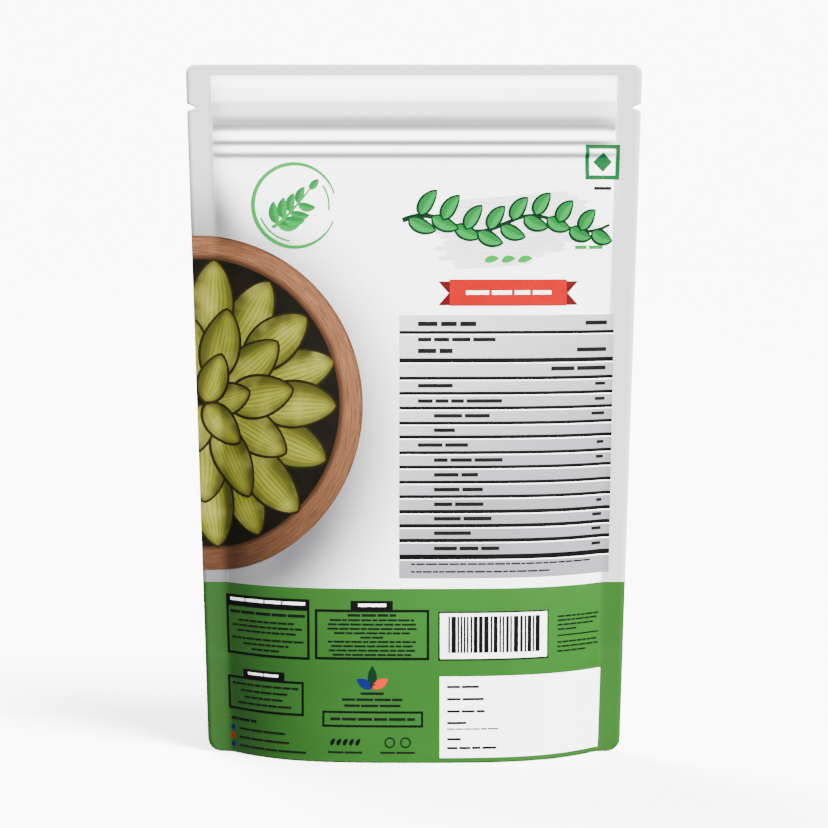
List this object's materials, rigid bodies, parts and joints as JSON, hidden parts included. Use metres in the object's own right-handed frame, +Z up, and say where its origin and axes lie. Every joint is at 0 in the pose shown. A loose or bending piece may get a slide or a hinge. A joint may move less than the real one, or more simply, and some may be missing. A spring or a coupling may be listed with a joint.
{
  "type": "stand-up zip pouch",
  "caption": "Filled stand-up food pouch with heat-sealed sides and top, tear notches, a press-to-close zip and a folded base gusset that lets it stand.",
  "frame": {"origin": "on the floor, under the middle of the pouch's base", "axes": "+Z up, -Y towards the viewer of the face with the information table, +X to that viewer's right"},
  "size_m": [0.1498, 0.0412, 0.228],
  "materials": {
    "printed_film": "satin",
    "base_film": "satin",
    "zip_plastic": "satin",
    "pod_skin": "matte"
  },
  "bodies": {
    "root": {"front_panel": "printed_film", "back_panel": "printed_film", "base_gusset": "base_film", "zip_groove": "zip_plastic", "zip_rib": "zip_plastic", "cardamom_fill": "pod_skin"}
  },
  "joints": []
}
